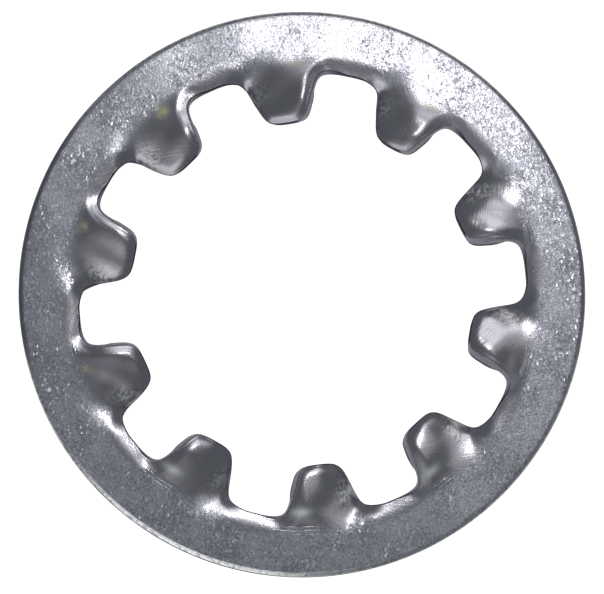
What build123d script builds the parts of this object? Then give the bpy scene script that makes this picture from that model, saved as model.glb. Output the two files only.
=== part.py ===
from build123d import *
from math import atan2, cos, degrees, hypot, radians, sin, tan
import os

# Internal-tooth lock washer, stamped from one piece of spring steel strip.
# Millimetres. The origin is the washer's centre, +Z is its axis, and one tooth lies on +Y.
# Angles round the washer are in degrees, clockwise from +Y as seen from above.

# Driving dimensions
tooth_count = 10
outer_diameter = 22.2
tip_diameter = 13.4
gullet_diameter = 17.5
thickness = 1.0
twist_angle = 19.0

# The twist starts in the rim and is complete part of the way down each tooth.
bend_start_radius = 9.5
bend_end_radius = 7.65
# A tooth turns as one flat blade up to this angle on each side of its middle.
blade_half_angle = 6.5

# A tooth's flanks, as angles from its middle at the gullet circle and at the tip circle.
# The clockwise flank is the one that the twist raises, and it is nearly radial.
raised_root_angle = 8.5
raised_tip_angle = 7.7
lowered_root_angle = 10.7
lowered_tip_angle = 5.4
# Corners: at the foot of each flank, and at the two ends of a tip.
raised_foot_radius = 0.70
lowered_foot_radius = 0.75
raised_tip_radius = 0.70
lowered_tip_radius = 0.65

# Edges that the punch rolled over: the upper edge of the punched contour, and both edges of the rim.
punched_edge_break = 0.13
rim_edge_break = 0.12

# Ten pitches are joined along seams that lie this close together.
seam_tolerance = 0.002

outer_radius = outer_diameter / 2
tip_radius = tip_diameter / 2
gullet_radius = gullet_diameter / 2
half_pitch = 180 / tooth_count
# Cutters reach past the highest and lowest edges of the twisted teeth.
cutter_reach = 1.5 * thickness


def smooth_ramp(share):
    """0 up to share 0 and 1 from share 1 on, with no kink and no jump of curvature at either end."""
    share = min(max(share, 0.0), 1.0)
    return share**3 * (10 - 15 * share + 6 * share**2)


def sheet_slope(radius):
    """How steeply the sheet rises across a tooth at this radius, as a share of the run."""
    bend = smooth_ramp((bend_start_radius - radius) / (bend_start_radius - bend_end_radius))
    return tan(radians(twist_angle)) * bend


def polar(radius, angle, height=0.0):
    return Vector(radius * sin(radians(angle)), radius * cos(radians(angle)), height)


def sheet_point(radius, angle):
    """A point halfway through the sheet. It rises across a tooth as a blade, and is level mid-gullet."""
    fade = smooth_ramp((abs(angle) - blade_half_angle) / (half_pitch - blade_half_angle))
    across = radius * radians(angle)
    return polar(radius, angle, across * sheet_slope(radius) * (1 - fade))


def formed_sheet():
    """One pitch of the strip after forming, a little wider and longer than its share of the washer."""
    radial_steps = 20
    angular_steps = 36
    inner = tip_radius - 0.5
    outer = bend_start_radius + 0.3
    widest = half_pitch + 2
    rows = []
    for i in range(radial_steps + 1):
        radius = inner + (outer - inner) * i / radial_steps
        angles = [widest * (2 * j / angular_steps - 1) for j in range(angular_steps + 1)]
        rows.append([sheet_point(radius, angle) for angle in angles])
    middle = Face.make_surface_from_array_of_points(rows, tol=5e-4, min_deg=3, max_deg=3)
    return thicken(middle, amount=thickness / 2, both=True)


def pitch_bounds():
    """The bounds of one pitch: two radial planes, the tip circle and the circle where bending starts."""
    ring = Circle(bend_start_radius) - Circle(tip_radius)
    past_rim = 2 * outer_radius
    corners = [(0, 0), polar(past_rim, -half_pitch), polar(past_rim, half_pitch)]
    slice_face = make_face(Polyline(*corners, close=True))
    return extrude(ring & slice_face, amount=cutter_reach, both=True)


def flank_line(root_angle, tip_angle, root_shift, tip_shift):
    """Root and far end of a flank. The far end lies inside the tip circle, so that the cut runs out."""
    root = polar(gullet_radius, root_angle - root_shift)
    tip = polar(tip_radius, tip_angle - tip_shift)
    past_tip = 1.4
    return root, root + (tip - root) * past_tip


def gullet_outline(height):
    """The gullet's outline at one height. It turns with height, so that a flank is square to its tooth."""
    shifts = [height * sheet_slope(radius) / radians(radius) for radius in (gullet_radius, tip_radius)]
    raised = (raised_root_angle - half_pitch, raised_tip_angle - half_pitch)
    lowered = (half_pitch - lowered_root_angle, half_pitch - lowered_tip_angle)
    raised_root, raised_end = flank_line(*raised, *shifts)
    lowered_root, lowered_end = flank_line(*lowered, *shifts)
    bottom = ThreePointArc(raised_root, polar(gullet_radius, -shifts[0]), lowered_root)
    sides = Polyline(lowered_root, lowered_end, raised_end, raised_root)
    outline = make_face([bottom, sides])
    for root, radius in ((raised_root, raised_foot_radius), (lowered_root, lowered_foot_radius)):
        corner = outline.vertices().sort_by_distance(root)[0]
        outline = fillet(corner, radius=radius)
    return Pos(0, 0, height) * outline


def gullet_cutter():
    return loft([gullet_outline(-cutter_reach), gullet_outline(cutter_reach)], ruled=True)


def round_tip(pitch):
    """Round the two upright edges at the ends of a tooth's tip."""
    raised_end = polar(tip_radius, raised_tip_angle)
    lowered_end = polar(tip_radius, -lowered_tip_angle)
    for corner, radius in ((raised_end, raised_tip_radius), (lowered_end, lowered_tip_radius)):
        edge = pitch.edges().sort_by_distance(corner)[0]
        pitch = fillet(edge, radius=radius)
    return pitch


def break_punched_edge(pitch):
    """Bevel the upper edge all along the gullets, flanks and tip."""
    upper_skin = pitch.faces().filter_by(GeomType.OFFSET).sort_by(Axis.Z)[-1]
    contour = []
    for edge in upper_skin.edges():
        middle = edge.center()
        angle = degrees(atan2(abs(middle.X), middle.Y))
        on_radial_plane = abs(angle - half_pitch) < 0.01
        on_bend_circle = abs(hypot(middle.X, middle.Y) - bend_start_radius) < 0.01
        if not on_radial_plane and not on_bend_circle:
            contour.append(edge)
    return chamfer(contour, length=punched_edge_break)


def tooth_pitch():
    """A tooth with half a gullet on each side, out to where the strip is still flat."""
    cutter = gullet_cutter()
    pitch = formed_sheet() & pitch_bounds()
    pitch -= [Rot(0, 0, turn) * cutter for turn in (half_pitch, -half_pitch)]
    return break_punched_edge(round_tip(pitch))


def flat_rim():
    rim = extrude(Circle(outer_radius) - Circle(bend_start_radius), amount=thickness / 2, both=True)
    outer_edges = rim.edges().filter_by(GeomType.CIRCLE).group_by(SortBy.RADIUS)[-1]
    return chamfer(outer_edges, length=rim_edge_break)


def lock_washer():
    pitch = tooth_pitch()
    pitches = [Rot(0, 0, 2 * half_pitch * i) * pitch for i in range(tooth_count)]
    return flat_rim().fuse(*pitches, tol=seam_tolerance)


os.makedirs("parts", exist_ok=True)
export_step(lock_washer(), "parts/lock_washer.step")
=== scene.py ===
import math

import bpy
import numpy as np
from mathutils import Matrix, Vector


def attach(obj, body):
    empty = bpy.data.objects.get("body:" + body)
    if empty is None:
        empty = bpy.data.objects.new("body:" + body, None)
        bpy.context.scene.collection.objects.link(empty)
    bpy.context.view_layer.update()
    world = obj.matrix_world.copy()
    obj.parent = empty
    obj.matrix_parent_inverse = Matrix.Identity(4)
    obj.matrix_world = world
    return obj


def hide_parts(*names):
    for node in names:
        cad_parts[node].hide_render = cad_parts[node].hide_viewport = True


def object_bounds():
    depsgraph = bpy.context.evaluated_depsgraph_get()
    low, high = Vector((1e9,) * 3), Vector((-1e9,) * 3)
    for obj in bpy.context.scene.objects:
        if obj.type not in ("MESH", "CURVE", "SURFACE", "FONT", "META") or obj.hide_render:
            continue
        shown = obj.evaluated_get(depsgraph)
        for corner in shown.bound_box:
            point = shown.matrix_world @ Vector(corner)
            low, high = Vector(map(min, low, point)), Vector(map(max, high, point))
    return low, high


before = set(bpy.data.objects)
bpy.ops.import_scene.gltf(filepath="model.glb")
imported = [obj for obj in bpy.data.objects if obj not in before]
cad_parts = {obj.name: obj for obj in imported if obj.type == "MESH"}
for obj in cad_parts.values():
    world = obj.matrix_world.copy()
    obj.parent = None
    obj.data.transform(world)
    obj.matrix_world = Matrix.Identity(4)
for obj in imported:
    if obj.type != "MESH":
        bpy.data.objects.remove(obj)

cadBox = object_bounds()
mm = 0.001
print("stage: frame loaded")

toothCount = 10
pitch = 2 * math.pi / toothCount
# Ten values in a row are for the ten teeth, clockwise from the one on +Y, seen from above. Each tooth's
# clockwise side is raised and its other side is lowered. Distances across a tooth run clockwise from its
# middle.
washer = {
    # the flat blank: its circles, and a tooth's corners as angles from its middle
    "outerRadius": cadBox[1].x,
    "tipRadius": 6.70 * mm,
    "gulletRadius": 8.78 * mm,
    "thickness": 1.00 * mm,
    "raisedRoot": math.radians(9.75),
    "raisedTip": math.radians(6.95),
    "raisedTipSetback": 0.05 * mm,
    "loweredRoot": math.radians(11.1),
    "loweredTip": math.radians(5.8),
    "cornerSoftness": 0.35 * mm,
    # how much wider each tooth's lowered side is at the tip, in degrees, and the share of it at the root
    "loweredWider": (-0.5, -1.0, -0.3, 0.1, 0.0, 0.0, 0.4, 0.35, 0.8, 0.2),
    "rootShare": 0.6,
    # the punch's own errors: in a corner's angle, in a tip's radius in millimetres, and in the gullets'
    # radius, which is greatest at the given turn
    "cornerError": math.radians(0.15),
    "tipError": 0.02,
    "gulletError": 0.05 * mm,
    "gulletErrorTurn": math.radians(140),
    # the twist, and the radii that its bend runs between: the bend starts nearer to the teeth on their
    # raised sides, and the two sides blend over an angle
    "twist": math.radians(19.0),
    "bendStartRaised": 9.50 * mm,
    "bendStartLowered": 9.95 * mm,
    "bendEnd": 7.50 * mm,
    "sideBlend": math.radians(6),
    # the twist keeps this half-angle on the blade and narrows to nothing out in the rim
    "bladeHalfAngle": math.radians(7.5),
    "narrowFromRaised": 8.30 * mm,
    "narrowFromLowered": 7.90 * mm,
    "narrowTo": 10.60 * mm,
    # the tooth's own forms set in at this radius and are whole this much further in, and they are whole
    # up to this half-angle and fade out over this much more
    "bladeFrom": 9.50 * mm,
    "bladeBlend": 1.85 * mm,
    "windowHalfAngle": math.radians(9),
    "windowBlend": math.radians(7),
    # crown: the drop at this distance to either side of the crown's line, and how far the line is lifted
    "toothCrown": 0.055 * mm,
    "crownLine": -0.08 * mm,
    "crownWidth": 0.80 * mm,
    "toothLift": 0.02 * mm,
    # the tip's drop one millimetre in from this radius, times each tooth's amount
    "tipDrop": 0.13 * mm,
    "tipDropFrom": 7.70 * mm,
    "dropped": (1.0, 0.8, 0.1, 0.1, 0.2, 0.3, 0.3, 0.3, 0.3, 0.8),
    # the raised side's drop one millimetre in from this radius, and where it sets in across the tooth
    "raisedArch": 0.085 * mm,
    "raisedArchFrom": 8.20 * mm,
    "raisedArchLine": -0.10 * mm,
    "raisedArchBlend": 0.90 * mm,
    "arched": (0.0, 0.3, 0.6, 0.8, 1.0, 1.0, 1.0, 0.6, 0.5, 0.5),
    # degrees that some teeth are twisted further on the raised side of this line
    "extraTwist": (0, 0, 4.0, 3.0, 2.0, 0, 0, 0, 0, 0),
    "extraTwistLine": -0.45 * mm,
    "extraTwistSoftness": 0.25 * mm,
    # the teeth and the rim are slightly beaten: soft dents of this depth, over these wavelengths, and
    # how many waves are added up, how far they bow in radians and over how many of their own lengths
    "dentDepth": 0.011 * mm,
    "dentWaves": (0.75 * mm, 1.70 * mm),
    "rimDentDepth": 0.006 * mm,
    "rimDentWaves": (2.0 * mm, 5.0 * mm),
    "dentCount": 7,
    "dentBow": 0.8,
    "dentBowLength": 1.7,
    # both skins sway, by waves round the washer of two kinds: how many, the first kind's start, the
    # second kind's further turn in radians for each metre outwards, and its share. A point further than
    # this from the sheet's middle is on a skin and not on a wall.
    "swayDepth": 0.006 * mm,
    "swayWaves": (3, 7),
    "swayStart": 1.0,
    "swayOutwards": 900,
    "swayShare": 0.5,
    "skinFrom": 0.40 * mm,
    # edges rolled over by the punch: how far in and how deep on each part of a tooth, the radii between
    # which one part becomes the next, how softly they blend, and the small round at the wall
    "gulletRoll": (0.88 * mm, 0.100 * mm),
    "raisedRoll": (0.44 * mm, 0.104 * mm),
    "loweredRoll": (0.50 * mm, 0.085 * mm),
    "tipRoll": (0.48 * mm, 0.100 * mm),
    "gulletRollFrom": 8.00 * mm,
    "gulletRollBlend": 0.60 * mm,
    "tipRollUpTo": 6.80 * mm,
    "tipRollBlend": 0.30 * mm,
    "rollBlend": 0.22 * mm,
    "rollSoftness": 0.42 * mm,
    "leastSoftness": 0.02 * mm,
    "edgeRound": 0.07 * mm,
    # the rim's upper edge, as distances in from the outer wall and down from the skin, in millimetres,
    # how many of these points still belong to the wall, and the radius outside which all this is rim edge
    "rimEdge": ((0.000, 0.170), (0.004, 0.136), (0.014, 0.112), (0.032, 0.093), (0.058, 0.073),
                (0.086, 0.053), (0.112, 0.034), (0.138, 0.017), (0.164, 0.005), (0.195, 0.000)),
    "rimEdgeOnWall": 3,
    "rimFrom": 10.50 * mm,
    # from this share of the way down the punched wall the metal broke away: the wall tapers by these
    # amounts, at the gullets and at the teeth, down to a small burr
    "fractureFrom": 0.4,
    "fractureTaper": (0.20 * mm, 0.06 * mm),
    "burr": 0.05 * mm,
    # the bright sheared zone on the walls of the raised flanks: down to this height above the middle of
    # the sheet, and from this distance across
    "shearedDownTo": -0.30 * mm,
    "shearedFrom": 0.45 * mm,
    "shearedBlend": 0.20 * mm,
    # the part of the skin that the press has smoothed: inside this radius, and this far to both sides,
    # and the gain of the polish spots that are joined to it
    "burnishFrom": 9.45 * mm,
    "burnishBlend": 0.60 * mm,
    "burnishHalfWidth": 1.20 * mm,
    "burnishSideBlend": 0.70 * mm,
    "polishGain": 1.8,
    # the press tool's line at the raised side's root, in millimetres: its ends as distances across and
    # radii, its sharp side's width, how it fades inwards, and how both ends run out; then each tooth's amount
    "toolLine": ((0.38, 9.18), (1.66, 8.91)),
    "toolLineWidth": 0.12,
    "toolLineFade": 0.22,
    "toolLineStart": (0.15, 0.3),
    "toolLineEnd": (0.1, 0.5),
    "toolLineDepth": 0.032 * mm,
    "toolStruck": (0.1, 0.2, 0.9, 1.0, 1.0, 1.0, 1.0, 0.6, 0.3, 0.1),
    # soft spots on the teeth: the middle as distance across and radius, the reach across and along, all
    # in millimetres, and each tooth's amount. Frost is rough skin by the lowered side, the yellow spot
    # carries a painted glint, scored means press marks, the pale spot at the raised side's root is a painted
    # reflection and the pale one by the lowered flank a painted highlight, and polish is smooth.
    "spots": {
        "frost": ((-0.80, 8.00, 0.33, 0.55), (0.3, 0.3, 0.9, 0.8, 0.8, 0.9, 0.4, 0.7, 0.9, 1.0)),
        "yellowGlint": ((0.62, 8.90, 0.24, 0.15), (0.3, 0.2, 0.1, 0.1, 0.1, 0.1, 0.2, 0.4, 1.4, 1.4)),
        "scored": ((1.2, 9.2, 0.80, 0.22), (0.1, 0.2, 1.0, 1.0, 0.7, 0.7, 0.5, 0.5, 0.2, 0.1)),
        "paintedReflection": ((0.92, 8.50, 0.36, 0.17), (0.0, 0.0, 0.0, 0.2, 0.8, 1.0, 0.9, 0.0, 0.0, 0.0)),
        "paintedFlankHighlight": ((-0.97, 7.95, 0.13, 0.22), (0.0, 0.0, 0.0, 0.7, 1.0, 1.0, 0.2, 0.0, 0.0, 0.0)),
        "polish": ((-0.45, 9.05, 0.62, 0.30), (0.0, 0.0, 1.0, 1.0, 1.0, 1.0, 0.4, 0.0, 0.0, 0.0)),
    },
    # parts of the rim's edge that get a painted highlight or, where the share is negative, painted shade, by
    # where they lie
    # round the washer: from and to, in degrees clockwise from +Y, and the share; each end fades over this
    # many degrees
    "edgePaintedLight": ((170, 262, 1.0), (105, 170, 0.65), (-50, 50, 0.75), (262, 312, -0.9)),
    "edgePaintedLightFade": 15,
    # the grid: stations for each tooth, how evenly they are spread round the rim, the share of a skin
    # line that leaves each end straight and its limit at the contour, and rows on each part of the section
    "stations": 116,
    "spokeEvenness": 0.6,
    "skinPull": 0.35,
    "skinPullLimit": 0.30 * mm,
    "rimWallPlaces": (0.33, 0.67),
    "skinRows": 34,
    "rollRows": 11,
    "roundRows": 4,
    "burrRows": 3,
    "wallRows": 5,
    "lowerRows": 9,
    "seed": 11,
}


# share 0 gives 0 and share 1 gives 1, level at both ends: s^3 (10 - 15 s + 6 s^2)
def smoothRamp(share):
    s = np.clip(share, 0.0, 1.0)
    return s ** 3 * (10 - 15 * s + 6 * s * s)


# how much of the twist is reached at a radius: a cubic ramp, s^2 (3 - 2 s), from the rim to the blade
def bendShare(radius, angle, shape):
    raised = smoothRamp(0.5 + angle / (2 * shape["sideBlend"]))
    start = shape["bendStartLowered"] + (shape["bendStartRaised"] - shape["bendStartLowered"]) * raised
    s = np.clip((start - radius) / (start - shape["bendEnd"]), 0.0, 1.0)
    return s * s * (3 - 2 * s)


# height of the sheet's middle: distance across the tooth times the slope of the twist at that radius,
# faded out towards the middle of the gullet from the edge of the twisted part, which narrows outwards
def sheetHeight(radius, angle, shape):
    slope = math.tan(shape["twist"]) * bendShare(radius, angle, shape)
    narrowFrom = np.where(angle > 0, shape["narrowFromRaised"], shape["narrowFromLowered"])
    narrow = smoothRamp((radius - narrowFrom) / (shape["narrowTo"] - narrowFrom))
    blade = shape["bladeHalfAngle"] * (1 - narrow)
    fade = smoothRamp((np.abs(angle) - blade) / (pitch / 2 - shape["bladeHalfAngle"]))
    return radius * angle * (1 - fade) * slope


# angle from the middle of the nearest tooth
def toothAngle(angle):
    return (angle + pitch / 2) % pitch - pitch / 2


# the flat blank bent to shape: a point of the middle surface plus its height along that surface's normal.
# The normal comes from the slopes of the height along x and y, by central differences.
def bendBlank(x, y, height, shape):
    def middle(px, py):
        return sheetHeight(np.hypot(px, py), toothAngle(np.arctan2(px, py)), shape)
    step = 0.002 * mm
    slopeX = (middle(x + step, y) - middle(x - step, y)) / (2 * step)
    slopeY = (middle(x, y + step) - middle(x, y - step)) / (2 * step)
    length = np.sqrt(1 + slopeX ** 2 + slopeY ** 2)
    return np.stack([x - height * slopeX / length,
                     y - height * slopeY / length,
                     middle(x, y) + height / length], axis=-1)


# the punched contour in the flat blank: straight flanks and arcs through four corners a tooth,
# rounded by averaging each point with its neighbours, and divided evenly along its length
def punchedContour(shape, rng):
    first = np.arange(toothCount) * pitch
    corners = np.stack([first - shape["loweredRoot"], first - shape["loweredTip"],
                        first + shape["raisedTip"], first + shape["raisedRoot"]], axis=1)
    wider = np.radians(shape["loweredWider"])
    corners[:, 0] -= shape["rootShare"] * wider
    corners[:, 1] -= wider
    corners = corners + rng.uniform(-shape["cornerError"], shape["cornerError"], corners.shape)
    tips = shape["tipRadius"] + rng.uniform(-shape["tipError"], shape["tipError"], toothCount) * mm
    gullets = shape["gulletRadius"] + shape["gulletError"] * np.cos(first - shape["gulletErrorTurn"])
    radii = np.stack([gullets, tips, tips + shape["raisedTipSetback"], gullets], axis=1)
    order = np.arange(4 * toothCount + 1)
    angles = np.append(corners.ravel(), corners[0, 0] + 2 * math.pi)
    radii = np.append(radii.ravel(), radii[0, 0])
    fine = 12000
    along = np.arange(fine) * (4 * toothCount) / fine
    angle = np.interp(along, order, angles)
    radius = np.interp(along, order, radii)
    path = radius * (np.sin(angle) + 1j * np.cos(angle))
    path = evenly(path, fine)
    path = soften(path, shape["cornerSoftness"], around(path))
    path = evenly(path, shape["stations"] * toothCount)
    return path, inwardOf(path)


# length of a closed path
def around(path):
    return np.abs(np.diff(np.append(path, path[0]))).sum()


# values along a closed path, each averaged with its neighbours by a bell curve of the given width
def soften(values, width, length):
    waves = np.fft.fftfreq(len(values), d=length / len(values))
    return np.fft.ifft(np.fft.fft(values) * np.exp(-0.5 * (2 * math.pi * waves * width) ** 2))


# the direction into the metal, square to the path
def inwardOf(path):
    tangent = np.roll(path, -1) - np.roll(path, 1)
    return 1j * tangent / np.abs(tangent)


# a closed path divided into equal steps
def evenly(path, count):
    closed = np.append(path, path[0])
    reach = np.append(0, np.cumsum(np.abs(np.diff(closed))))
    at = np.arange(count) * reach[-1] / count
    return np.interp(at, reach, closed.real) + 1j * np.interp(at, reach, closed.imag)


# how far a rolled edge has dropped, from 0 at its start to 1 at the wall: its curvature grows evenly
# over the first share of the way and then stays the same
def rollProfile(q, lead=0.4):
    whole = lead ** 2 / 6 + (1 - lead) / 2
    bend = q ** 3 / (6 * lead) if q < lead else lead ** 2 / 6 + (q * q - lead * q) / 2
    return bend / whole


# along the contour, the rolled edge's width and depth and the wall's taper: each part of a tooth has
# its own, blended smoothly
def rollSizes(path, shape):
    radius = np.abs(path)
    raised = toothAngle(np.arctan2(path.real, path.imag)) > 0
    gullet = smoothRamp((radius - shape["gulletRollFrom"]) / shape["gulletRollBlend"])
    tip = 1 - smoothRamp((radius - shape["tipRollUpTo"]) / shape["tipRollBlend"])

    def blended(values):
        return soften(values, shape["rollBlend"], around(path)).real

    sizes = []
    for part in (0, 1):
        flank = np.where(raised, shape["raisedRoll"][part], shape["loweredRoll"][part])
        size = flank + (shape["gulletRoll"][part] - flank) * gullet
        sizes.append(blended(size + (shape["tipRoll"][part] - size) * tip))
    atGullet, atTooth = shape["fractureTaper"]
    sizes.append(blended(atTooth + (atGullet - atTooth) * gullet))
    return sizes


# a line across the skin, from the rim straight inwards and into the contour square to it: a Bezier curve
def skinLine(start, end, outward, inward, q, shape):
    pull = shape["skinPull"] * np.abs(start - end)
    near = start - outward * pull
    far = end + inward * np.minimum(pull, shape["skinPullLimit"])
    p = 1 - q
    return p ** 3 * start + 3 * p * p * q * near + 3 * p * q * q * far + q ** 3 * end


# the whole surface: a closed section of rows, carried round the washer by the stations.
# The section runs from the outer wall over the upper skin, down the punched wall and back below.
# Each row has its places in plan, its height, whether it is on a cut wall, and how far it is rolled over.
def washerGrid(shape):
    rng = np.random.default_rng(shape["seed"])
    path, inward = punchedContour(shape, rng)
    count = len(path)
    half = shape["thickness"] / 2
    turn = np.unwrap(np.arctan2(path.real, path.imag))
    even = turn[0] + np.arange(count) * 2 * math.pi / count
    even += np.mean(turn - even)
    spoke = (1 - shape["spokeEvenness"]) * turn + shape["spokeEvenness"] * even
    outward = np.sin(spoke) + 1j * np.cos(spoke)
    roll, depth, taper = rollSizes(path, shape)
    outer, burr, edge = shape["outerRadius"], shape["burr"], shape["edgeRound"]
    rimEdge = np.array(shape["rimEdge"]) * mm
    rows = []

    def addRow(plan, height, cut=0.0, rolled=0.0):
        rows.append((plan, np.broadcast_to(height, (count,)), cut, rolled))

    # the outer wall, from the lower burr's quarter round up to the rim's upper edge
    for q in np.linspace(0, 1, shape["burrRows"] + 1):
        tilt = q * math.pi / 2
        addRow(outward * (outer - burr * (1 - math.sin(tilt))),
               -half + burr * (1 - math.cos(tilt)), cut=float(q == 1))
    for q in shape["rimWallPlaces"]:
        addRow(outward * outer, -half + burr + (2 * half - burr - rimEdge[0, 1]) * q, cut=1.0)
    for place, (inset, drop) in enumerate(rimEdge):
        addRow(outward * (outer - inset), half - drop,
               cut=float(place < shape["rimEdgeOnWall"]), rolled=1 - place / (len(rimEdge) - 1))

    # a line along the rolled edge, q = 0 at its start on the skin and 1 at the wall's small round:
    # the contour moved inwards and softened in step, so that it doesn't fold at the tips' corners
    def rollLine(q):
        reach = edge + (roll - edge) * (1 - q)
        softness = shape["rollSoftness"] * (1 - q) + shape["leastSoftness"]
        return soften(path + inward * reach, softness, around(path))

    # the upper skin, the rolled edge and the small round
    start = outward * (outer - rimEdge[-1, 0])
    end = rollLine(0.0)
    endInward = inwardOf(end)
    for q in np.linspace(0, 1, shape["skinRows"] + 2)[1:]:
        addRow(skinLine(start, end, outward, endInward, q, shape), half)
    for q in np.linspace(0, 1, shape["rollRows"] + 1)[1:]:
        addRow(rollLine(q), half - depth * rollProfile(q), rolled=q)
    for q in np.linspace(0, 1, shape["roundRows"] + 1)[1:]:
        tilt = q * math.pi / 2
        addRow(path + inward * edge * (1 - math.sin(tilt)),
               half - depth - edge * (1 - math.cos(tilt)), cut=1.0, rolled=1.0)

    # the punched wall, its burr and the lower skin
    wallHeight = 2 * half - depth - edge - burr
    fractureFrom = shape["fractureFrom"]
    for row in range(shape["wallRows"]):
        q = (row + 1) / shape["wallRows"]
        addRow(path + inward * taper * max(0.0, q - fractureFrom) / (1 - fractureFrom),
               half - depth - edge - wallHeight * q, cut=1.0)
    foot = path + inward * taper
    for q in np.linspace(0, 1, shape["burrRows"] + 1)[1:]:
        tilt = q * math.pi / 2
        addRow(foot + inward * burr * (1 - math.cos(tilt)),
               -half + burr * (1 - math.sin(tilt)), cut=1.0)
    start = outward * (outer - burr)
    end = foot + inward * burr
    for q in np.linspace(1, 0, shape["lowerRows"] + 2)[1:-1]:
        addRow(skinLine(start, end, outward, inward, q, shape), -half)
    plan, height, cut, rolled = zip(*rows)
    return np.array(plan), np.array(height), np.repeat(cut, count), np.repeat(rolled, count)


# the step left by the press tool: sharp on its outer side, fading exponentially inwards, and run out
# at both ends by smooth ramps
def toolMark(across, radius, shape):
    (x0, y0), (x1, y1) = shape["toolLine"]
    length = math.hypot(x1 - x0, y1 - y0)
    along = ((across - x0) * (x1 - x0) + (radius - y0) * (y1 - y0)) / length
    beside = ((across - x0) * (y0 - y1) + (radius - y0) * (x1 - x0)) / length
    inside = smoothRamp(-beside / shape["toolLineWidth"])
    inside = inside * np.exp(-np.maximum(-beside, 0) / shape["toolLineFade"])
    beforeStart, startBlend = shape["toolLineStart"]
    pastEnd, endBlend = shape["toolLineEnd"]
    ends = smoothRamp((along + beforeStart) / startBlend) * smoothRamp((length + pastEnd - along) / endBlend)
    return shape["toolLineDepth"] * inside * ends


# how much painted highlight or painted shade the rim's edge gets around its turn: the given parts added up,
# each with soft ends
def edgePaintedLight(turn, shape):
    total = np.zeros_like(turn)
    for start, end, share in shape["edgePaintedLight"]:
        fromMiddle = (np.degrees(turn) - (start + end) / 2 + 180) % 360 - 180
        total += share * smoothRamp(((end - start) / 2 - np.abs(fromMiddle)) / shape["edgePaintedLightFade"] + 0.5)
    return np.clip(total, -1, 1)


# soft dents: a sum of bowed sine waves in random directions and with random starts, their lengths spread
# evenly in proportion and their depths growing with the square root of their place in that row
def dents(x, y, depth, waves, seed, shape):
    rng = np.random.default_rng(seed)
    short, long = waves
    bow, bowLength = shape["dentBow"], shape["dentBowLength"]
    latestStart = 6
    total = np.zeros_like(x)
    for share in np.linspace(0, 1, shape["dentCount"]):
        length = short * (long / short) ** share
        way = rng.uniform(0, 2 * math.pi)
        across = (x * math.cos(way) + y * math.sin(way)) / length
        along = (y * math.cos(way) - x * math.sin(way)) / (bowLength * length)
        bowed = bow * np.sin(along + rng.uniform(0, latestStart))
        total += np.sin(2 * math.pi * across + bowed + rng.uniform(0, latestStart)) * share ** 0.5
    return depth * total


# how far the upper skin lies below the plain twisted sheet. The crown grows with the square of the
# distance from its line, the tip's drop and the raised side's arch with the square of the distance in
# from their radii, and the further twist is a slope that sets in along a line. Dents come last.
def skinDrop(plan, angle, inWindow, number, shape):
    x, y = plan.real, plan.imag
    radius = np.abs(plan)
    across = radius * angle
    bladeShare = smoothRamp((shape["bladeFrom"] - radius) / shape["bladeBlend"])
    crown = shape["toothCrown"] * ((across - shape["crownLine"]) / shape["crownWidth"]) ** 2
    drop = bladeShare * inWindow * (crown - shape["toothLift"])

    dropped = shape["tipDrop"] * np.array(shape["dropped"])[number]
    drop = drop + dropped * (np.maximum(shape["tipDropFrom"] - radius, 0) / mm) ** 2

    raisedShare = smoothRamp((across - shape["raisedArchLine"]) / shape["raisedArchBlend"])
    arched = shape["raisedArch"] * (raisedShare * inWindow * np.array(shape["arched"])[number])
    drop = drop + arched * (np.maximum(shape["raisedArchFrom"] - radius, 0) / mm) ** 2

    furtherSlope = np.radians(np.array(shape["extraTwist"]))[number] * bladeShare * inWindow
    fromLine = across - shape["extraTwistLine"]
    drop = drop - furtherSlope * (fromLine + np.hypot(fromLine, shape["extraTwistSoftness"])) / 2

    toothDents = dents(x, y, shape["dentDepth"], shape["dentWaves"], shape["seed"] + 1, shape)
    rimDents = dents(x, y, shape["rimDentDepth"], shape["rimDentWaves"], shape["seed"] + 2, shape)
    return drop + (toothDents * bladeShare * inWindow + rimDents * (1 - bladeShare))


# waves round the washer: a long one, and a shorter one that is also drawn aslant
def skinSway(turn, radius, shape):
    longWaves, shortWaves = shape["swayWaves"]
    aslant = np.sin(shortWaves * turn + shape["swayOutwards"] * radius)
    return shape["swayDepth"] * (np.sin(longWaves * turn + shape["swayStart"]) + aslant * shape["swayShare"])


# a closed grid made a mesh: its rows run round the section and its stations round the washer, and both
# join up. Faces with all four corners on a cut wall get the second material. Masks become attributes.
def gridMesh(name, points, cut, masks):
    rowCount, count = points.shape[:2]
    index = np.arange(rowCount * count).reshape(rowCount, count)
    nextRow = np.roll(index, -1, axis=0)
    nextStation = np.roll(index, -1, axis=1)
    both = np.roll(nextRow, -1, axis=1)
    quads = np.stack([index, nextRow, both, nextStation], axis=-1).reshape(-1, 4)
    mesh = bpy.data.meshes.new(name)
    mesh.vertices.add(rowCount * count)
    mesh.vertices.foreach_set("co", points.reshape(-1).astype(np.float32))
    mesh.loops.add(quads.size)
    mesh.loops.foreach_set("vertex_index", quads.reshape(-1).astype(np.int32))
    mesh.polygons.add(len(quads))
    mesh.polygons.foreach_set("loop_start", np.arange(0, quads.size, 4, dtype=np.int32))
    mesh.polygons.foreach_set("use_smooth", np.ones(len(quads), dtype=bool))
    mesh.polygons.foreach_set("material_index", (cut[quads].min(axis=1) > 0.5).astype(np.int32))
    mesh.update(calc_edges=True)
    for label, values in masks.items():
        attribute = mesh.attributes.new(label, "FLOAT", "POINT")
        attribute.data.foreach_set("value", values.reshape(-1).astype(np.float32))
    return mesh


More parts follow.
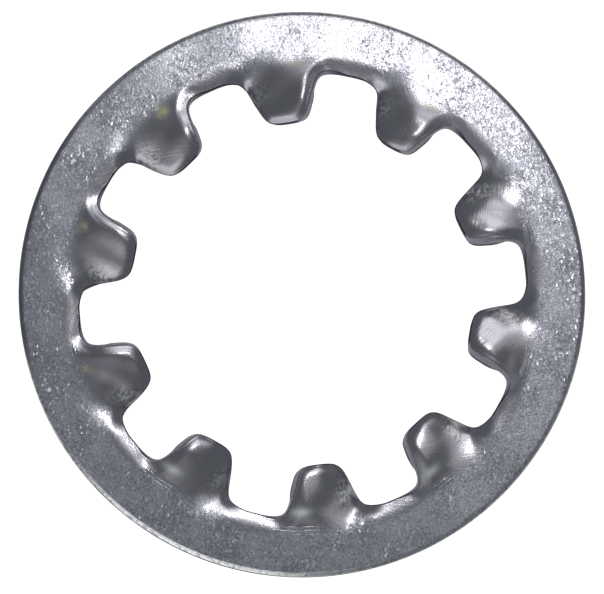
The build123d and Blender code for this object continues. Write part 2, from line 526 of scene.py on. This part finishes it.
# the dressed washer: the grid, its upper skin lowered by the tooth's forms and the press tool's line, bent
# to shape; its masks are products of smooth ramps and bell curves over the plan and the height
def makeWasher(shape):
    plan, height, cut, rolled = washerGrid(shape)
    x, y = plan.real, plan.imag
    radius = np.abs(plan)
    turn = np.arctan2(x, y)
    number = np.round(turn / pitch).astype(int) % toothCount
    angle = toothAngle(turn)
    across = radius * angle
    inWindow = 1 - smoothRamp((np.abs(angle) - shape["windowHalfAngle"]) / shape["windowBlend"])
    upper = height > 0
    height = height - np.where(upper, skinDrop(plan, angle, inWindow, number, shape), 0)
    height = height + skinSway(turn, radius, shape) * (np.abs(height) > shape["skinFrom"])
    struck = toolMark(across / mm, radius / mm, shape) * np.array(shape["toolStruck"])[number]
    height = height - np.where(upper, struck, 0)
    points = bendBlank(x, y, height, shape)

    # a soft spot on the upper skin: bell curves across and along the tooth, times each tooth's amount
    def spot(name):
        (middleAcross, middleRadius, wide, long), amounts = shape["spots"][name]
        share = ((across / mm - middleAcross) / wide) ** 2 + ((radius / mm - middleRadius) / long) ** 2
        return np.exp(-share) * upper * np.array(amounts)[number]

    burnish = smoothRamp((shape["burnishFrom"] - radius) / shape["burnishBlend"])
    pastWidth = smoothRamp((np.abs(across) - shape["burnishHalfWidth"]) / shape["burnishSideBlend"])
    polish = np.minimum(spot("polish") * shape["polishGain"], 1)
    sheared = smoothRamp((height - shape["shearedDownTo"]) / shape["shearedBlend"])
    sheared = sheared * smoothRamp((across - shape["shearedFrom"]) / shape["shearedBlend"])
    onRimEdge = rolled.reshape(x.shape) ** 0.5 * (radius > shape["rimFrom"])
    edgeLightShare = edgePaintedLight(turn, shape)
    masks = {
        "sheared": sheared * inWindow,
        "rolled": rolled,
        "burnish": np.maximum(burnish * (1 - pastWidth), polish),
        "frost": spot("frost"),
        "yellowGlint": spot("yellowGlint"),
        "scored": spot("scored"),
        # pale spots that are a painted reflection and a painted highlight
        "paintedReflection": spot("paintedReflection") + spot("paintedFlankHighlight"),
        # the rim's edge: painted shade on the dark arc, and painted highlight on the others
        "rimEdge": onRimEdge * np.maximum(-edgeLightShare, 0),
        "paintedLitEdge": onRimEdge * np.maximum(edgeLightShare, 0),
    }
    piece = bpy.data.objects.new("dressed_washer", gridMesh("lock_washer_dressed", points, cut, masks))
    bpy.context.scene.collection.objects.link(piece)
    return piece


plating = {
    "skinColour": (0.700, 0.695, 0.770, 1),
    "dullColour": (0.320, 0.318, 0.362, 1),
    "burnishedColour": (0.415, 0.405, 0.440, 1),
    # yellow, and bright for a painted glint
    "yellowGlintColour": (1.00, 0.90, 0.42, 1),
    "frostAndSheenColour": (0.88, 0.89, 0.90, 1),
    # painted shade for the rim's edge, then its painted highlight
    "edgeShadeColour": (0.20, 0.19, 0.23, 1),
    "paintedLitColour": (0.95, 0.95, 0.93, 1),
    "skinRoughness": 0.31,
    "burnishedRoughness": 0.25,
    # the crystals: their direction, size and stretch, and how far they lean. The lean is the tilt times the
    # least share, with the gain added where the plating is dull, and only the pressed share of it is kept
    # where the skin is pressed smooth.
    "rollingTurn": math.radians(5.5),
    "grainSize": 0.066 * mm,
    "grainStretch": 1.6,
    "grainTilt": 0.088,
    "tiltLeast": 0.50,
    "tiltGain": 0.90,
    "tiltPressed": 0.08,
    "leanGain": 4.0,
    # noises: waves a metre, and detail
    "rippleNoise": (13000.0, 2.0),
    "speckNoise": (17000.0, 2.0),
    "cloudNoise": (800.0, 5.0),
    "pebbleNoise": (6500.0, 2.0),
    # where a mask or a noise starts to tell and where it tells in full
    "pressedRamp": (0.0, 0.40),
    "frostRamp": (0.42, 0.60),
    "coarseRamp": (0.38, 0.62),
    "markRamp": (0.50, 0.66),
    "yellowGlintRamp": (0.36, 0.56),
    "fleckRamp": (0.86, 0.96),
    "paintedLitRamp": (0.36, 0.50),
    # how much each part of the tone dulls the colour: crystals, specks, clouds, and an offset
    "crystalTone": 0.6,
    "speckTone": 3.2,
    "cloudTone": 1.4,
    "toneOffset": -2.1,
    # how smooth the rolled edges are and how far the smooth skin is darkened, how pale each kind of spot
    # is and how matt a pale one, and the unevenness of the roughness
    "pressedShare": 0.9,
    "burnishedShare": 0.92,
    "frostPale": 0.8,
    "fleckPale": 0.45,
    "yellowGlintPale": 0.7,
    "paleMatt": 0.9,
    "speckRoughness": 0.16,
    "frostRoughness": 0.12,
    # the relief: depths of ripples, frost, press marks and scratches, the share of the ripples that stays
    # where the skin is pressed, and how noise is drawn out into marks and scratches, in waves a millimetre
    "rippleDepth": 0.0055 * mm,
    "ripplePressed": 0.10,
    "frostDepth": 0.030 * mm,
    "markDepth": 0.014 * mm,
    "markStretch": (0.9, 14.0),
    "markDetail": 2.0,
    "scratchDepth": 0.0045 * mm,
    "scratchTurn": math.radians(35),
    "scratchStretch": (1.1, 13.0, 1.0),
    "scratchDetail": 3.0,
}
wall = {
    # dark colours that are partly the dull fracture and partly painted shade
    "colour": (0.028, 0.027, 0.050, 1),
    "brightColour": (0.120, 0.118, 0.150, 1),
    "shearedColour": (0.350, 0.340, 0.390, 1),
    "roughness": 0.50,
    "streakRoughness": 0.2,
    "grainStretch": 1.0,
    "grainTilt": 0.25,
    "streakNoise": (9000.0, 3.0),
    "streakStretch": (1.0, 1.0, 0.15),
    "streakRamp": (0.50, 0.75),
    "streakDepth": 0.010 * mm,
    # radii in millimetres between which the walls turn to the rim's brighter colour
    "rimRamp": (10.0, 11.0),
}


# a node with its settings, and its inputs set or linked: a socket is linked, anything else is a value.
# An input is given by its name, or as i and its number.
def addNode(tree, kind, settings=None, **inputs):
    node = tree.nodes.new(kind)
    for name, value in (settings or {}).items():
        setattr(node, name, value)
    for name, value in inputs.items():
        socket = node.inputs[int(name[1:])] if name[0] == "i" and name[1:].isdigit() else node.inputs[name]
        if isinstance(value, bpy.types.NodeSocket):
            tree.links.new(value, socket)
        else:
            socket.default_value = value
    return node


# small nodes, made from what goes in, each giving back what comes out
def mathNode(tree, operation, *values, clamp=False):
    named = {"i%d" % place: value for place, value in enumerate(values)}
    return addNode(tree, "ShaderNodeMath", {"operation": operation, "use_clamp": clamp}, **named).outputs[0]


def vectorNode(tree, operation, *values, **named):
    named.update({"i%d" % place: value for place, value in enumerate(values)})
    return addNode(tree, "ShaderNodeVectorMath", {"operation": operation}, **named).outputs


def mixColour(tree, share, first, second):
    return addNode(tree, "ShaderNodeMix", {"data_type": "RGBA"}, i0=share, i6=first, i7=second).outputs[2]


def mixValue(tree, share, first, second):
    return addNode(tree, "ShaderNodeMix", None, i0=share, i2=first, i3=second).outputs[0]


def combined(tree, **parts):
    return addNode(tree, "ShaderNodeCombineXYZ", None, **parts).outputs[0]


def turnedFlat(tree, vector, angle):
    return addNode(tree, "ShaderNodeVectorRotate", {"rotation_type": "Z_AXIS"},
                   Vector=vector, Angle=angle).outputs[0]


def noise(tree, vector, scale, detail):
    return addNode(tree, "ShaderNodeTexNoise", None, Vector=vector, Scale=scale, Detail=detail).outputs["Fac"]


def mask(tree, name):
    return addNode(tree, "ShaderNodeAttribute", {"attribute_name": name}).outputs["Fac"]


def objectPlace(tree):
    return addNode(tree, "ShaderNodeTexCoord").outputs["Object"]


# 0 below the first value and 1 above the second, by a smooth step
def smoothStep(tree, value, ramp):
    return addNode(tree, "ShaderNodeMapRange", {"interpolation_type": "SMOOTHSTEP"},
                   Value=value, i1=ramp[0], i2=ramp[1]).outputs[0]


# a group with named inputs and outputs: the group, what goes in and what comes out
def makeGroup(name, given, results):
    group = bpy.data.node_groups.new(name, "ShaderNodeTree")
    for label, kind in given.items():
        group.interface.new_socket(label, in_out="INPUT", socket_type=kind)
    for label, kind in results.items():
        group.interface.new_socket(label, in_out="OUTPUT", socket_type=kind)
    return group, group.nodes.new("NodeGroupInput").outputs, group.nodes.new("NodeGroupOutput").inputs


# the crystals of the plating: each cell of a Voronoi pattern drawn out along the rolling direction
# leans the surface its own way, by the cube of a random colour so that a few lean far
def crystalGroup():
    group, given, result = makeGroup(
        "crystalGrain", {"Size": "NodeSocketFloat", "Stretch": "NodeSocketFloat", "Tilt": "NodeSocketFloat"},
        {"Normal": "NodeSocketVector", "Fleck": "NodeSocketFloat"})
    turned = turnedFlat(group, objectPlace(group), plating["rollingTurn"])
    perCell = mathNode(group, "DIVIDE", 1.0, given["Size"])
    along = mathNode(group, "DIVIDE", perCell, given["Stretch"])
    stretched = vectorNode(group, "MULTIPLY", turned, combined(group, X=perCell, Y=along, Z=perCell))[0]
    cells = addNode(group, "ShaderNodeTexVoronoi", None, Vector=stretched, Scale=1.0)
    lean = vectorNode(group, "SUBTRACT", cells.outputs["Color"], (0.5, 0.5, 0.5))[0]
    square = vectorNode(group, "DOT_PRODUCT", lean, lean)["Value"]
    gained = mathNode(group, "MULTIPLY", square, plating["leanGain"])
    amount = mathNode(group, "MULTIPLY", gained, given["Tilt"])
    leaning = vectorNode(group, "SCALE", lean, Scale=amount)[0]
    normal = addNode(group, "ShaderNodeNewGeometry").outputs["Normal"]
    bent = vectorNode(group, "NORMALIZE", vectorNode(group, "ADD", normal, leaning)[0])[0]
    group.links.new(bent, result["Normal"])
    parts = addNode(group, "ShaderNodeSeparateColor", None, Color=cells.outputs["Color"])
    group.links.new(parts.outputs[0], result["Fleck"])
    return group


# where a point lies on its tooth: distance across it, clockwise, and radius, both in millimetres.
# Across is the radius times the angle from the nearest whole number of pitches.
def toothPlaceGroup():
    group, _, result = makeGroup(
        "toothPlace", {}, {"Across": "NodeSocketFloat", "Radius": "NodeSocketFloat"})
    parts = addNode(group, "ShaderNodeSeparateXYZ", None, Vector=objectPlace(group)).outputs
    flat = combined(group, X=parts[0], Y=parts[1])
    radius = mathNode(group, "DIVIDE", vectorNode(group, "LENGTH", flat)["Value"], mm)
    pitches = mathNode(group, "DIVIDE", mathNode(group, "ARCTAN2", parts[0], parts[1]), pitch)
    offset = mathNode(group, "SUBTRACT", pitches, mathNode(group, "ROUND", pitches))
    across = mathNode(group, "MULTIPLY", mathNode(group, "MULTIPLY", offset, pitch), radius)
    group.links.new(across, result["Across"])
    group.links.new(radius, result["Radius"])
    return group


# a metal material with its place on the piece, its place on the tooth and its crystals
def newMetal(name, crystal, toothPlace, grainStretch):
    material = bpy.data.materials.new(name)
    material.use_nodes = True
    tree = material.node_tree
    shader = tree.nodes["Principled BSDF"]
    shader.inputs["Metallic"].default_value = 1.0
    onTooth = addNode(tree, "ShaderNodeGroup", {"node_tree": toothPlace}).outputs
    crystals = addNode(tree, "ShaderNodeGroup", {"node_tree": crystal}, Size=plating["grainSize"],
                       Stretch=grainStretch)
    return material, tree, shader, objectPlace(tree), onTooth, crystals


# the relief: a height in units of the given depth, over the crystals' leaning normal
def linkRelief(tree, shader, height, depth, crystals):
    bump = addNode(tree, "ShaderNodeBump", None, Strength=1.0, Distance=depth, Height=height,
                   Normal=crystals.outputs["Normal"])
    tree.links.new(bump.outputs["Normal"], shader.inputs["Normal"])


# the rolled skin under its plating: bright and grainy on the rim, pressed smooth on the teeth and rolled
# edges, with pale places, some of them painted reflections and highlights, yellow ones with a painted glint,
# and painted shade and painted highlights on the rim's edge, where the masks say so
def platedSteel(crystal, toothPlace):
    material, tree, shader, place, onTooth, crystals = newMetal(
        "platedSteel", crystal, toothPlace, plating["grainStretch"])
    ripple = noise(tree, place, *plating["rippleNoise"])
    speck = noise(tree, place, *plating["speckNoise"])
    cloud = noise(tree, place, *plating["cloudNoise"])
    pebble = noise(tree, place, *plating["pebbleNoise"])
    fleck = crystals.outputs["Fleck"]
    frost = mask(tree, "frost")

    # smooth where it is burnished or rolled over, rough elsewhere
    pressed = smoothStep(tree, mask(tree, "rolled"), plating["pressedRamp"])
    smooth = mathNode(tree, "MAXIMUM", mask(tree, "burnish"),
                      mathNode(tree, "MULTIPLY", pressed, plating["pressedShare"]))
    rough = mathNode(tree, "SUBTRACT", 1.0, smooth)

    # the grain is finer where the plating is bright, and coarser where it is dull
    coarse = mathNode(tree, "MULTIPLY_ADD", smoothStep(tree, cloud, plating["coarseRamp"]),
                      plating["grainTilt"] * plating["tiltGain"], plating["grainTilt"] * plating["tiltLeast"])
    kept = mathNode(tree, "MULTIPLY_ADD", rough, 1 - plating["tiltPressed"], plating["tiltPressed"])
    tree.links.new(mathNode(tree, "MULTIPLY", kept, coarse), crystals.inputs["Tilt"])

    # tone: crystals, specks and clouds added up, from the bright skin's colour to the dull one
    tone = mathNode(tree, "MULTIPLY_ADD", fleck, plating["crystalTone"],
                    mathNode(tree, "MULTIPLY", speck, plating["speckTone"]))
    tone = mathNode(tree, "ADD", tone, mathNode(tree, "MULTIPLY_ADD", cloud, plating["cloudTone"],
                                                plating["toneOffset"]), clamp=True)
    skin = mixColour(tree, tone, plating["skinColour"], plating["dullColour"])
    burnished = mixColour(tree, mathNode(tree, "MULTIPLY", smooth, plating["burnishedShare"]), skin,
                          plating["burnishedColour"])

    # pale places: the greatest of frost, the painted reflection and highlight spots and single bright
    # crystals, and the yellow ones with their painted glint
    frosted = mathNode(tree, "MULTIPLY", frost, smoothStep(tree, pebble, plating["frostRamp"]))
    flecks = mathNode(tree, "MULTIPLY", smoothStep(tree, fleck, plating["fleckRamp"]), rough)
    paleShare = mathNode(tree, "MAXIMUM", mathNode(tree, "MULTIPLY", frosted, plating["frostPale"]),
                      mask(tree, "paintedReflection"))
    paleShare = mathNode(tree, "MAXIMUM", paleShare, mathNode(tree, "MULTIPLY", flecks, plating["fleckPale"]))
    pale = mixColour(tree, paleShare, burnished, plating["frostAndSheenColour"])
    # yellow spots with a painted glint: yellow, and paler and less metallic so that they shine where the skin
    # is in shade
    yellow = mathNode(tree, "MULTIPLY", mask(tree, "yellowGlint"), smoothStep(tree, cloud, plating["yellowGlintRamp"]),
                      clamp=True)
    yellowGlinted = mixColour(tree, yellow, pale, plating["yellowGlintColour"])
    paleShare = mathNode(tree, "MAXIMUM", paleShare, mathNode(tree, "MULTIPLY", yellow, plating["yellowGlintPale"]))

    # the rim's edge: painted shade on one arc, and painted highlights in patches on others
    edgeShaded = mixColour(tree, mask(tree, "rimEdge"), yellowGlinted, plating["edgeShadeColour"])
    paintedLit = mathNode(tree, "MULTIPLY", mask(tree, "paintedLitEdge"), smoothStep(tree, pebble, plating["paintedLitRamp"]))
    tree.links.new(mixColour(tree, paintedLit, edgeShaded, plating["paintedLitColour"]), shader.inputs["Base Color"])

    # pale places are less metallic, and specks and frost make the skin's roughness uneven
    metallic = mathNode(tree, "MULTIPLY_ADD", paleShare, -plating["paleMatt"], 1.0)
    tree.links.new(metallic, shader.inputs["Metallic"])
    even = mixValue(tree, smooth, plating["skinRoughness"], plating["burnishedRoughness"])
    specked = mathNode(tree, "MULTIPLY_ADD", speck, plating["speckRoughness"], -plating["speckRoughness"] / 2)
    uneven = mathNode(tree, "ADD", even, specked)
    rougher = mathNode(tree, "MULTIPLY", frosted, plating["frostRoughness"])
    tree.links.new(mathNode(tree, "ADD", uneven, rougher), shader.inputs["Roughness"])

    # press marks: noise drawn out along the rim, kept where the mask lets it through
    wide, close = plating["markStretch"]
    drawn = combined(tree, X=mathNode(tree, "MULTIPLY", onTooth["Across"], wide),
                     Y=mathNode(tree, "MULTIPLY", onTooth["Radius"], close))
    marks = smoothStep(tree, noise(tree, drawn, 1.0, plating["markDetail"]), plating["markRamp"])
    scored = mathNode(tree, "MULTIPLY", marks, mask(tree, "scored"))

    # scratches: noise drawn out aslant across the smooth parts
    flat = combined(tree, X=onTooth["Across"], Y=onTooth["Radius"])
    aslant = turnedFlat(tree, flat, plating["scratchTurn"])
    lengthwise = vectorNode(tree, "MULTIPLY", aslant, plating["scratchStretch"])[0]
    scratch = mathNode(tree, "MULTIPLY", noise(tree, lengthwise, 1.0, plating["scratchDetail"]), smooth)

    # the relief adds ripples, frost pits, press marks and scratches, each by its depth
    kept = mathNode(tree, "MULTIPLY_ADD", rough, 1 - plating["ripplePressed"], plating["ripplePressed"])
    ripples = mathNode(tree, "MULTIPLY", ripple, kept)
    pits = mathNode(tree, "MULTIPLY", mathNode(tree, "MULTIPLY", pebble, frost),
                    plating["frostDepth"] / plating["rippleDepth"])
    grooves = mathNode(tree, "MULTIPLY", scored, plating["markDepth"] / plating["rippleDepth"])
    scratches = mathNode(tree, "MULTIPLY", scratch, plating["scratchDepth"] / plating["rippleDepth"])
    height = mathNode(tree, "ADD", mathNode(tree, "ADD", ripples, pits),
                      mathNode(tree, "ADD", grooves, scratches))
    linkRelief(tree, shader, height, plating["rippleDepth"], crystals)
    return material


# the punched walls: duller and darker than the skin, the darkness partly the dull fracture and partly painted
# shade, darkest on the inner walls; with streaks through the thickness, brighter on the outer wall and in the
# sheared zone
def punchedSteel(crystal, toothPlace):
    material, tree, shader, place, onTooth, crystals = newMetal(
        "punchedSteel", crystal, toothPlace, wall["grainStretch"])
    crystals.inputs["Tilt"].default_value = wall["grainTilt"]
    stretched = vectorNode(tree, "MULTIPLY", place, wall["streakStretch"])[0]
    streak = noise(tree, stretched, *wall["streakNoise"])
    bright = mathNode(tree, "MAXIMUM", smoothStep(tree, onTooth["Radius"], wall["rimRamp"]),
                      smoothStep(tree, streak, wall["streakRamp"]))
    base = mixColour(tree, bright, wall["colour"], wall["brightColour"])
    base = mixColour(tree, mask(tree, "sheared"), base, wall["shearedColour"])
    tree.links.new(base, shader.inputs["Base Color"])
    uneven = mathNode(tree, "MULTIPLY_ADD", streak, wall["streakRoughness"],
                      wall["roughness"] - wall["streakRoughness"] / 2)
    tree.links.new(uneven, shader.inputs["Roughness"])
    linkRelief(tree, shader, streak, wall["streakDepth"], crystals)
    return material


dressed = makeWasher(washer)
crystal, toothPlace = crystalGroup(), toothPlaceGroup()
dressed.data.materials.append(platedSteel(crystal, toothPlace))
dressed.data.materials.append(punchedSteel(crystal, toothPlace))
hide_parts("lock_washer")
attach(dressed, "root")
print("stage: washer made,", len(dressed.data.polygons) * 2, "triangles")

studio = {
    "floorSize": 0.6,
    "floorColour": (0.9, 0.9, 0.9, 1),
    "floorRoughness": 0.9,
    # the floor's own glow, and how much more of it the camera sees
    "floorGlow": 0.30,
    "floorGlowSeen": 0.60,
    "worldColour": (0.86, 0.93, 1.0, 1),
    "worldStrength": 0.190,
    # the camera: how far right of and above the middle of the frame the washer's centre lies, in pixels,
    # its distance, its tilt from overhead, the side it stands on, and the washer's turn in the frame
    "frameWidth": 604,
    "pixelsPerMillimetre": 25.58,
    "centreRight": 0.71,
    "centreUp": 4.27,
    "aimHeight": 0.5 * mm,
    "cameraDistance": 180 * mm,
    "cameraTilt": math.radians(5.0),
    "cameraSide": math.radians(245.0),
    "turn": math.radians(5.5),
    "sensorWidth": 36,
    "clipStart": 0.01,
    # the lamps: angle counter-clockwise from the camera's right and angle from overhead, in degrees,
    # then distance, width and watts
    "lamps": {
        "keyLamp": (71.0, 20.7, 49.2 * mm, 7 * mm, 0.0026),
        "upperLamp": (76.0, 43.0, 300 * mm, 117 * mm, 0.046),
        "lowerPanel": (253.0, 39.0, 300 * mm, 150 * mm, 0.022),
        "rimLamp": (5.0, 17.0, 60 * mm, 12 * mm, 0.00026),
        "edgePanel": (245.0, 68.0, 300 * mm, 260 * mm, 0.145),
        "eastPanel": (66.0, 36.0, 300 * mm, 220 * mm, 0.050),
        "softPanel": (250.0, 35.0, 300 * mm, 300 * mm, 0.030),
    },
}


# a place given to the right of and above the washer's centre as the camera sees it, turned back by the
# washer's own turn in the frame
def asSeen(right, up, height):
    c, s = math.cos(-studio["turn"]), math.sin(-studio["turn"])
    return Vector((right * c - up * s, right * s + up * c, height))


# a place at a distance, at an angle counter-clockwise from the camera's right and an angle from overhead
def fromOverhead(side, tilt, distance=1.0):
    return asSeen(distance * math.sin(tilt) * math.cos(side),
                  distance * math.sin(tilt) * math.sin(side), distance * math.cos(tilt))


# a pale floor at the washer's foot, which glows a little and more so for the camera
def makeFloor():
    size, z = studio["floorSize"], cadBox[0].z
    corners = [(-size, -size, z), (size, -size, z), (size, size, z), (-size, size, z)]
    mesh = bpy.data.meshes.new("floor")
    mesh.from_pydata(corners, [], [(0, 1, 2, 3)])
    floor = bpy.data.objects.new("floor", mesh)
    bpy.context.scene.collection.objects.link(floor)
    material = bpy.data.materials.new("whitePaper")
    material.use_nodes = True
    tree = material.node_tree
    shader = tree.nodes["Principled BSDF"]
    shader.inputs["Base Color"].default_value = studio["floorColour"]
    shader.inputs["Roughness"].default_value = studio["floorRoughness"]
    shader.inputs["Emission Color"].default_value = (1, 1, 1, 1)
    seen = addNode(tree, "ShaderNodeLightPath").outputs["Is Camera Ray"]
    glow = mathNode(tree, "MULTIPLY_ADD", seen, studio["floorGlowSeen"], studio["floorGlow"])
    tree.links.new(glow, shader.inputs["Emission Strength"])
    mesh.materials.append(material)


# a round lamp that looks at the washer's centre
def makeLamp(name, side, tilt, distance, width, watts):
    data = bpy.data.lights.new(name, "AREA")
    data.shape = "DISK"
    data.size = width
    data.energy = watts
    lamp = bpy.data.objects.new(name, data)
    lamp.location = fromOverhead(math.radians(side), math.radians(tilt), distance)
    lamp.rotation_euler = lamp.location.to_track_quat("Z", "Y").to_euler()
    lamp.visible_camera = False
    bpy.context.scene.collection.objects.link(lamp)


# a camera that looks at a point just beside the washer's centre, with up in its frame along asSeen's up
def makeCamera():
    data = bpy.data.cameras.new("camera")
    camera = bpy.data.objects.new("camera", data)
    perPixel = mm / studio["pixelsPerMillimetre"]
    distance = studio["cameraDistance"]
    data.sensor_width = studio["sensorWidth"]
    data.lens = studio["sensorWidth"] * distance / (studio["frameWidth"] * perPixel)
    data.clip_start = studio["clipStart"]
    aim = asSeen(-studio["centreRight"] * perPixel, -studio["centreUp"] * perPixel, studio["aimHeight"])
    back = fromOverhead(studio["cameraSide"], studio["cameraTilt"])
    right = asSeen(0, 1, 0).cross(back).normalized()
    turned = Matrix((right, back.cross(right), back)).transposed().to_4x4()
    camera.matrix_world = Matrix.Translation(aim + back * distance) @ turned
    bpy.context.scene.collection.objects.link(camera)
    bpy.context.scene.camera = camera


makeFloor()
for name, settings in studio["lamps"].items():
    makeLamp(name, *settings)
makeCamera()

world = bpy.data.worlds.new("studio")
world.use_nodes = True
world.node_tree.nodes["Background"].inputs["Color"].default_value = studio["worldColour"]
world.node_tree.nodes["Background"].inputs["Strength"].default_value = studio["worldStrength"]
bpy.context.scene.world = world
bpy.context.scene.view_settings.view_transform = "Standard"
print("stage: floor, light and camera made")
